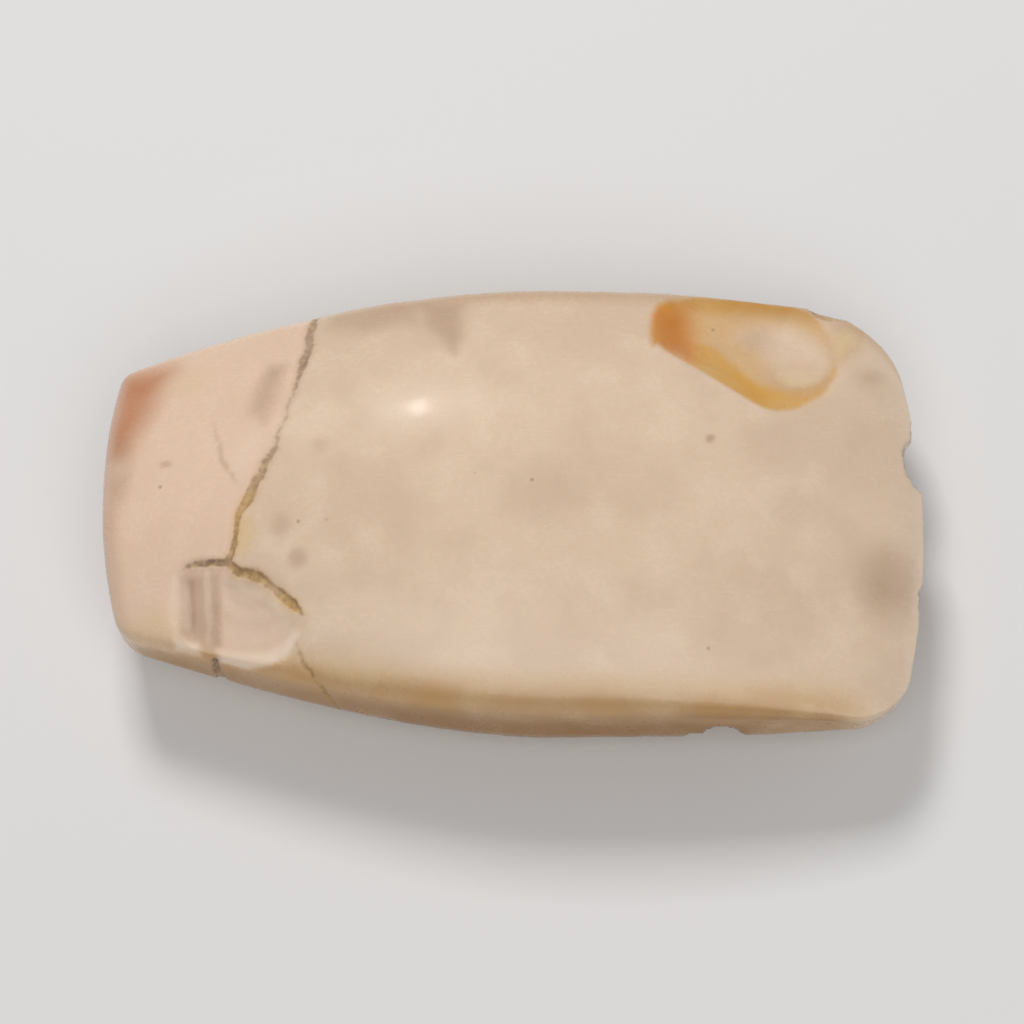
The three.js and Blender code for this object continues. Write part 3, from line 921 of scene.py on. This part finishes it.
# Dots: how far from its middle one ends and how far it is full, against the size of its cell, and the
# share of cells left without
SPECKS = (0.1, 0.03, 0.93)
PITS = (0.16, 0.02, 0.8)

# The relief tree's inputs, named as the properties of StoneRelief are
RELIEF_INPUTS = ("Waviness", "Wave Size", "Wear", "Wear Size", "Pit Depth", "Pit Size", "Seed")


def tint(colour):
    """A property's colour as the four numbers of a socket."""
    return (*colour, 1.0)


def linear(red, green, blue):
    """A colour given as it looks on a screen, 0 to 255, as the linear one Blender works in."""

    def one(c):
        c /= 255
        return c / 12.92 if c <= 0.04045 else ((c + 0.055) / 1.055) ** 2.4

    return (one(red), one(green), one(blue))


def bare_stone(net, look, cloud, mottle):
    """Cream in slow clouds with milky and dusky mottling, and pinker beyond the break."""
    colour = net.mix(net.between(cloud, 0.38, 0.64), tint(look.cream), tint(look.cream_deep))
    colour = net.mix(net.times(net.between(mottle, 0.5, 0.72), 0.45), colour, tint(look.milk))
    colour = net.mix(net.times(net.between(mottle, 0.48, 0.28), 0.3), colour, tint(look.dusk))
    return net.mix(net.times(net.field("butt_part"), 0.55), colour, tint(look.butt))


def with_stains(net, look, colour, mottle):
    """The red, grey and pale places, the earth's stain and the brown, with painted shade and painted
    highlights among them, and edges made ragged by the mottling.
    """
    ragged = net.times(net.maths("SUBTRACT", mottle, 0.5), 0.5)

    def blotched(name, rag=1.0):
        value = net.field(name)
        torn = net.sum_of(value, net.times(net.times(ragged, rag), net.between(value, 0.0, 0.25)))
        return net.maths("MAXIMUM", torn, 0.0)

    colour = net.mix(blotched("reddened"), colour, tint(look.red))
    # Grey smudges, and painted shade in the break flake
    colour = net.mix(blotched("greyed"), colour, tint(look.grey))
    # Pale stone, and painted highlights on the break flake's lip and along the cutting edge
    colour = net.mix(net.field("paled_and_highlit"), colour, tint(look.pale))
    tone = net.sum_of(net.field("stain_tone"), net.times(ragged, 0.45))
    shades = look.lemon, look.straw, look.gold, look.orange, look.burnt
    earth = net.ramp(tone, list(zip(SHADE_STOPS, shades)))
    # The earth's stain, and painted shade on the lower side
    colour = net.mix(blotched("stain", 0.8), colour, earth)
    # Brown stain, and painted shade low on the lower side
    colour = net.mix(blotched("browned_and_shaded", 0.8), colour, tint(look.umber))
    return net.mix(net.times(net.field("thinness"), 0.5), colour, tint(look.thin))


def with_break(net, look, colour, gap, grain):
    """The break: a faint halo, and in it grey dirt or ochre earth with lighter and darker grains."""
    stain, shown = net.field("break_stain"), net.field("break_shown")
    frayed = net.sum_of(gap, net.times(net.maths("SUBTRACT", grain, 0.5), 0.5))
    halo = net.times(net.between(frayed, 1.0, 0.0, 0.0, 0.3), shown)
    colour = net.mix(halo, colour, net.mix(stain, tint(look.grey), tint(look.gold)))
    fill = net.mix(stain, tint(look.break_grey), tint(look.break_ochre))
    fill = net.mix(net.between(grain, 0.4, 0.7, 0.0, 0.4), fill, tint(look.lemon))
    fill = net.mix(net.between(grain, 0.5, 0.25, 0.0, 0.5), fill, tint(look.speck))
    return net.mix(net.times(net.between(frayed, 0.26, -0.2), shown), colour, fill)


def with_specks(net, look, colour, place, grain):
    """Scattered dark specks, and a fine grain of lighter and darker stone."""
    specks = net.dots(place, 1 / SPECK_CELL, *SPECKS)
    colour = net.mix(net.times(specks, 0.5), colour, tint(look.speck))
    shade = net.between(grain, 0.25, 0.75, 0.985, 1.012)
    shades = net.add("ShaderNodeCombineColor", i0=shade, i1=shade, i2=shade)
    return net.mix(1.0, colour, shades.outputs[0], "MULTIPLY")


def polish(net, place, gap, mottle, grain):
    """How dull the polished stone is, and the bump of its fine slanting scratches."""
    stretched = net.add(
        "ShaderNodeMapping", Vector=place, Rotation=(0, 0, 0.5), Scale=(1.0, 14.0, 1.0)
    ).outputs[0]
    scratches = net.between(net.noise(stretched, SCRATCH_LENGTH), 0.6, 0.72)
    dull = net.sum_of(
        net.between(mottle, 0.3, 0.7, 0.21, 0.27),
        net.times(net.field("stain"), 0.06),
        net.between(gap, 0.2, -0.1, 0.0, 0.35),
        net.between(grain, 0.3, 0.7, -0.02, 0.03),
        net.times(scratches, 0.05),
    )
    grooves = net.times(scratches, -1.0)
    bump = net.add("ShaderNodeBump", Strength=0.3, Distance=SCRATCH_DEPTH, Height=grooves)
    return dull, bump.outputs[0]


def stone_material(look):
    """Cream stone, mottled and a little clear, with stained scars and a grey and ochre break."""
    material = bpy.data.materials.new("polished_cream_stone")
    material.use_nodes = True
    material.node_tree.nodes.clear()
    net = Paint(material.node_tree)
    place = net.add("ShaderNodeTexCoord").outputs["Object"]
    cloud = net.noise(place, CLOUD_SIZE, 1.5)
    mottle = net.noise(place, MOTTLE_SIZE, 1.5)
    grain = net.noise(place, GRAIN_SIZE)
    gap = net.field("break_gap")
    colour = bare_stone(net, look, cloud, mottle)
    colour = with_stains(net, look, colour, mottle)
    colour = with_break(net, look, colour, gap, grain)
    colour = with_specks(net, look, colour, place, grain)
    dull, bump = polish(net, place, gap, mottle, grain)
    shader = net.add(
        "ShaderNodeBsdfPrincipled",
        {"subsurface_method": "RANDOM_WALK"},
        Base_Color=colour,
        Roughness=dull,
        IOR=1.54,
        Subsurface_Weight=look.clearness,
        Subsurface_Radius=(1.0, 0.62, 0.4),
        Subsurface_Scale=0.0022,
        Specular_IOR_Level=0.4,
        Coat_Weight=0.18,
        Coat_Roughness=0.1,
        Normal=bump,
    )
    net.add("ShaderNodeOutputMaterial", Surface=shader.outputs[0])
    return material


def hand_ground(material):
    """The node tree that gives the stone its slight waviness, worn arrises and pits."""
    tree = bpy.data.node_groups.new("hand_ground_surface", "GeometryNodeTree")
    add_socket = tree.interface.new_socket
    add_socket("Geometry", in_out="INPUT", socket_type="NodeSocketGeometry")
    for name in RELIEF_INPUTS:
        add_socket(name, in_out="INPUT", socket_type="NodeSocketFloat")
    add_socket("Geometry", in_out="OUTPUT", socket_type="NodeSocketGeometry")
    net = Net(tree)
    given = net.add("NodeGroupInput").outputs
    place = net.add("GeometryNodeInputPosition").outputs[0]
    normal = net.add("GeometryNodeInputNormal").outputs[0]

    def field(name):
        node = net.add("GeometryNodeInputNamedAttribute", {"data_type": "FLOAT"}, Name=name)
        return node.outputs["Attribute"]

    def swells(size, seed_shift):
        scale = net.maths("DIVIDE", 1.0, size)
        seed = net.sum_of(given["Seed"], seed_shift)
        noise = net.add(
            "ShaderNodeTexNoise", {"noise_dimensions": "4D"}, Vector=place, W=seed, Scale=scale, Detail=1.0
        )
        return net.maths("SUBTRACT", noise.outputs["Fac"], 0.5)

    wave = net.times(swells(given["Wave Size"], 0.0), given["Waviness"])
    wear = net.times(swells(given["Wear Size"], 3.0), given["Wear"])
    cells = net.maths("DIVIDE", PITS[0], given["Pit Size"])
    pits = net.times(net.dots(place, cells, *PITS), given["Pit Depth"])
    rise = net.sum_of(wave, net.times(wear, field("worn")))
    lift = net.times(net.maths("SUBTRACT", rise, pits), field("free"))
    offset = net.add("ShaderNodeVectorMath", {"operation": "SCALE"}, i0=normal, Scale=lift)
    moved = net.add("GeometryNodeSetPosition", Geometry=given["Geometry"], Offset=offset.outputs[0])
    real = net.add("GeometryNodeRealizeInstances", Geometry=moved.outputs[0])
    painted = net.add("GeometryNodeSetMaterial", Geometry=real.outputs[0], Material=material)
    net.add("NodeGroupOutput", Geometry=painted.outputs[0])
    return tree


def with_tree(obj, tree, values):
    """The object's mesh after the tree has run on it with the given input values."""
    modifier = obj.modifiers.new("relief", "NODES")
    modifier.node_group = tree
    for item in tree.interface.items_tree:
        if item.in_out == "INPUT" and item.name in values:
            modifier[item.identifier] = values[item.name]
    depsgraph = bpy.context.evaluated_depsgraph_get()
    mesh = bpy.data.meshes.new_from_object(obj.evaluated_get(depsgraph), depsgraph=depsgraph)
    obj.modifiers.clear()
    return mesh


def colour_property(name, description, red, green, blue):
    """A colour, with its default as it looks on a screen, 0 to 255."""
    return bpy.props.FloatVectorProperty(
        name=name,
        description=description,
        subtype="COLOR",
        size=3,
        min=0.0,
        max=1.0,
        default=linear(red, green, blue),
    )


def length_property(name, description, default):
    """A length in metres."""
    return bpy.props.FloatProperty(
        name=name, description=description, default=default, min=0.0, unit="LENGTH", precision=5
    )


def power_property(name, description, default):
    """A lamp's power in watts."""
    return bpy.props.FloatProperty(
        name=name, description=description, default=default, min=0.0, unit="POWER"
    )


class StoneRelief(bpy.types.PropertyGroup):
    """Sizes of the stone's fine relief."""

    ripple: length_property("Ripple", "Half height of the ripples in a flake scar", 0.00006)
    step: length_property("Step", "How far the mended butt sits below the rest", 0.00012)
    cleft: bpy.props.FloatProperty(
        name="Cleft", description="Depth of the break against its measured one", default=1.0, min=0.0
    )
    waviness: length_property("Waviness", "Height of the slow swells left by hand grinding", 0.0003)
    wave_size: length_property("Wave Size", "Distance between those swells", 0.018)
    wear: length_property("Wear", "Depth of the wear on the arrises and the edge", 0.00026)
    wear_size: length_property("Wear Size", "Length of a worn stretch", 0.003)
    pit_depth: length_property("Pit Depth", "Depth of the scattered pits", 0.00008)
    pit_size: length_property("Pit Size", "Width of a pit", 0.001)
    seed: bpy.props.FloatProperty(name="Seed", description="Which pattern of swells and pits", default=4.0)


class StoneLook(bpy.types.PropertyGroup):
    """Colours of the stone."""

    cream: colour_property("Cream", "Main colour", 224, 201, 177)
    cream_deep: colour_property("Deep Cream", "Colour of the slow clouds", 218, 194, 170)
    milk: colour_property("Milk", "Paler mottling", 231, 210, 187)
    dusk: colour_property("Dusk", "Darker mottling", 209, 184, 160)
    butt: colour_property("Butt", "Pinker colour beyond the break", 234, 203, 180)
    red: colour_property("Red", "Iron stain at the corner of the butt", 192, 132, 96)
    # Smudge is also the painted shade in the break flake
    grey: colour_property("Smudge", "Brownish grey smudges", 164, 132, 106)
    # Pale is also the painted highlight on the break flake's lip and along the cutting edge
    pale: colour_property("Pale", "Freshly chipped stone", 236, 216, 197)
    lemon: colour_property("Lemon", "Palest stain", 218, 192, 136)
    straw: colour_property("Straw", "Weak stain", 200, 162, 114)
    gold: colour_property("Gold", "Middling stain", 214, 165, 84)
    orange: colour_property("Orange", "Strong stain", 208, 142, 62)
    burnt: colour_property("Burnt", "Strongest stain", 196, 120, 44)
    # Umber is brown stain and painted shade low on the lower side, and the darker band along the upper rim
    umber: colour_property("Umber", "Brown stain low on the sides", 156, 108, 40)
    thin: colour_property("Thin", "Where the stone is thin enough to look clear", 204, 190, 174)
    break_grey: colour_property("Grey Break", "Dirt in the closed part of the break", 140, 112, 90)
    break_ochre: colour_property("Ochre Break", "Earth in the open part of the break", 176, 140, 84)
    speck: colour_property("Speck", "Dark specks", 140, 116, 96)
    clearness: bpy.props.FloatProperty(
        name="Clearness", description="How far light soaks in", default=0.16, min=0.0, max=1.0
    )


class Studio(bpy.types.PropertyGroup):
    """The floor, the lights and the camera."""

    floor: colour_property("Floor", "Colour of the floor", 226, 227, 229)
    key_power: power_property("Key Light", "Power of the main light", 5.3)
    glint_power: power_property("Glint", "Power of the lamp that shines back", 0.32)
    fill_power: power_property("Fill Light", "Power of the wide soft light", 8.0)
    sky: bpy.props.FloatProperty(
        name="Sky", description="Strength of the even light all round", default=0.24, min=0.0
    )
    distance: length_property("Camera Distance", "From the camera to the stone", 0.55)
    framed: length_property("Framed Width", "Width that the camera takes in at the stone", 0.15)


class AXEHEAD_OT_stone(bpy.types.Operator):
    """Builds the axe head with its scars, its break and its stone"""

    bl_idname = "axehead.stone"
    bl_label = "Build Axe Head"

    def execute(self, context):
        scene = context.scene
        relief = scene.axe_relief
        material = stone_material(scene.axe_look)
        mesh = damaged_stone(relief)
        blank = bpy.data.objects.new("axe_head_blank", mesh)
        scene.collection.objects.link(blank)
        values = {name: getattr(relief, name.lower().replace(" ", "_")) for name in RELIEF_INPUTS}
        finished = with_tree(blank, hand_ground(material), values)
        bpy.data.objects.remove(blank)
        stone = bpy.data.objects.new("axe_head_stone", finished)
        scene.collection.objects.link(stone)
        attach(stone, "root")
        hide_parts(NODE)
        return {"FINISHED"}


# The studio, in metres, but for the camera's sensor, which is in millimetres. Directions are from the
# stone's middle, and a lamp's size is its width and height.
FLOOR_HALF = 2.0
SKY_COLOUR, LAMP_COLOUR = (1.0, 0.985, 0.965), (1.0, 0.97, 0.94)
KEY = {"towards": (-0.153, 0.617, 0.772), "distance": 1.0, "size": (0.3, 0.3)}
GLINT = {"towards": (-0.195, 0.665, 0.735), "distance": 1.0, "size": (0.025, 0.08)}
FILL = {"towards": (0.15, -0.62, 1.0), "distance": 1.3, "size": (1.2, 1.2)}
CAMERA_TOWARDS, CAMERA_ROLL = (0.085, -0.375, 0.923), math.radians(1.9)
SENSOR_WIDTH = 36.0
CLIP_FROM, CLIP_TO = 0.01, 20.0


def pale_floor(scene, colour):
    """A wide plain floor under the stone."""
    half = FLOOR_HALF
    corners = [(-half, -half, 0), (half, -half, 0), (half, half, 0), (-half, half, 0)]
    mesh = bpy.data.meshes.new("floor")
    mesh.from_pydata(corners, [], [(0, 1, 2, 3)])
    floor = bpy.data.objects.new("floor", mesh)
    scene.collection.objects.link(floor)
    paint = bpy.data.materials.new("pale_floor")
    paint.use_nodes = True
    shader = paint.node_tree.nodes["Principled BSDF"]
    shader.inputs["Base Color"].default_value = tint(colour)
    shader.inputs["Roughness"].default_value = 0.85
    mesh.materials.append(paint)
    return floor


def even_light(scene, strength):
    """An even light from all round."""
    world = bpy.data.worlds.new("studio")
    world.use_nodes = True
    back = world.node_tree.nodes["Background"]
    back.inputs["Color"].default_value = tint(SKY_COLOUR)
    back.inputs["Strength"].default_value = strength
    scene.world = world


def studio_light(scene, name, power, aim, towards, distance, size):
    """A soft light of the given width and height, looking at the aim from a direction."""
    data = bpy.data.lights.new(name, "AREA")
    data.shape = "RECTANGLE"
    data.size, data.size_y = size
    data.energy = power
    data.color = LAMP_COLOUR
    light = bpy.data.objects.new(name, data)
    scene.collection.objects.link(light)
    towards = Vector(towards).normalized()
    light.location = aim + towards * distance
    light.rotation_euler = (-towards).to_track_quat("-Z", "Y").to_euler()
    return light


def camera_turn(towards, roll):
    """The turn of a camera that looks back along a direction, rolled about it."""
    right = Vector((0, 1, 0)).cross(towards).normalized()
    up = towards.cross(right)
    side = math.cos(roll) * right + math.sin(roll) * up
    return Matrix((side, towards.cross(side), towards)).transposed()


def studio_camera(scene, plan, aim):
    """The camera, as far off as the plan says and taking in the width it gives."""
    data = bpy.data.cameras.new("camera")
    data.sensor_width = SENSOR_WIDTH
    data.lens = SENSOR_WIDTH * plan.distance / plan.framed
    data.clip_start, data.clip_end = CLIP_FROM, CLIP_TO
    camera = bpy.data.objects.new("camera", data)
    scene.collection.objects.link(camera)
    towards = Vector(CAMERA_TOWARDS).normalized()
    place = Matrix.Translation(aim + towards * plan.distance)
    camera.matrix_world = place @ camera_turn(towards, CAMERA_ROLL).to_4x4()
    scene.camera = camera


class AXEHEAD_OT_stage(bpy.types.Operator):
    """Makes the floor, the lights and the camera"""

    bl_idname = "axehead.stage"
    bl_label = "Build Stage"

    def execute(self, context):
        scene = context.scene
        plan = scene.axe_studio
        aim = (CAD_LOW + CAD_HIGH) / 2
        floor = pale_floor(scene, plan.floor)
        even_light(scene, plan.sky)
        key = studio_light(scene, "key", plan.key_power, aim, **KEY)
        key.visible_glossy = False
        glint = studio_light(scene, "glint", plan.glint_power, aim, **GLINT)
        glint.visible_diffuse = False
        studio_light(scene, "fill", plan.fill_power, aim, **FILL)
        studio_camera(scene, plan, aim)
        scene.view_settings.view_transform = "Standard"
        return {"FINISHED"}


class AXEHEAD_PT_panel(bpy.types.Panel):
    """Lists the operators and their sizes and colours"""

    bl_idname = "AXEHEAD_PT_panel"
    bl_label = "Axe Head"
    bl_space_type = "VIEW_3D"
    bl_region_type = "UI"
    bl_category = "Axe Head"

    def draw(self, context):
        layout = self.layout
        for group, operator in (
            (context.scene.axe_relief, None),
            (context.scene.axe_look, AXEHEAD_OT_stone.bl_idname),
            (context.scene.axe_studio, AXEHEAD_OT_stage.bl_idname),
        ):
            box = layout.box()
            for name in group.__annotations__:
                box.prop(group, name)
            if operator:
                layout.operator(operator)


CLASSES = (StoneRelief, StoneLook, Studio, AXEHEAD_OT_stone, AXEHEAD_OT_stage, AXEHEAD_PT_panel)


def register():
    """Makes the classes and their settings known to Blender."""
    for cls in CLASSES:
        bpy.utils.register_class(cls)
    bpy.types.Scene.axe_relief = bpy.props.PointerProperty(type=StoneRelief)
    bpy.types.Scene.axe_look = bpy.props.PointerProperty(type=StoneLook)
    bpy.types.Scene.axe_studio = bpy.props.PointerProperty(type=Studio)


def unregister():
    """Takes away what register makes."""
    del bpy.types.Scene.axe_relief
    del bpy.types.Scene.axe_look
    del bpy.types.Scene.axe_studio
    for cls in reversed(CLASSES):
        bpy.utils.unregister_class(cls)


def main():
    """Builds the stone and the stage."""
    register()
    bpy.ops.axehead.stone()
    bpy.ops.axehead.stage()


if __name__ == "__main__":
    main()
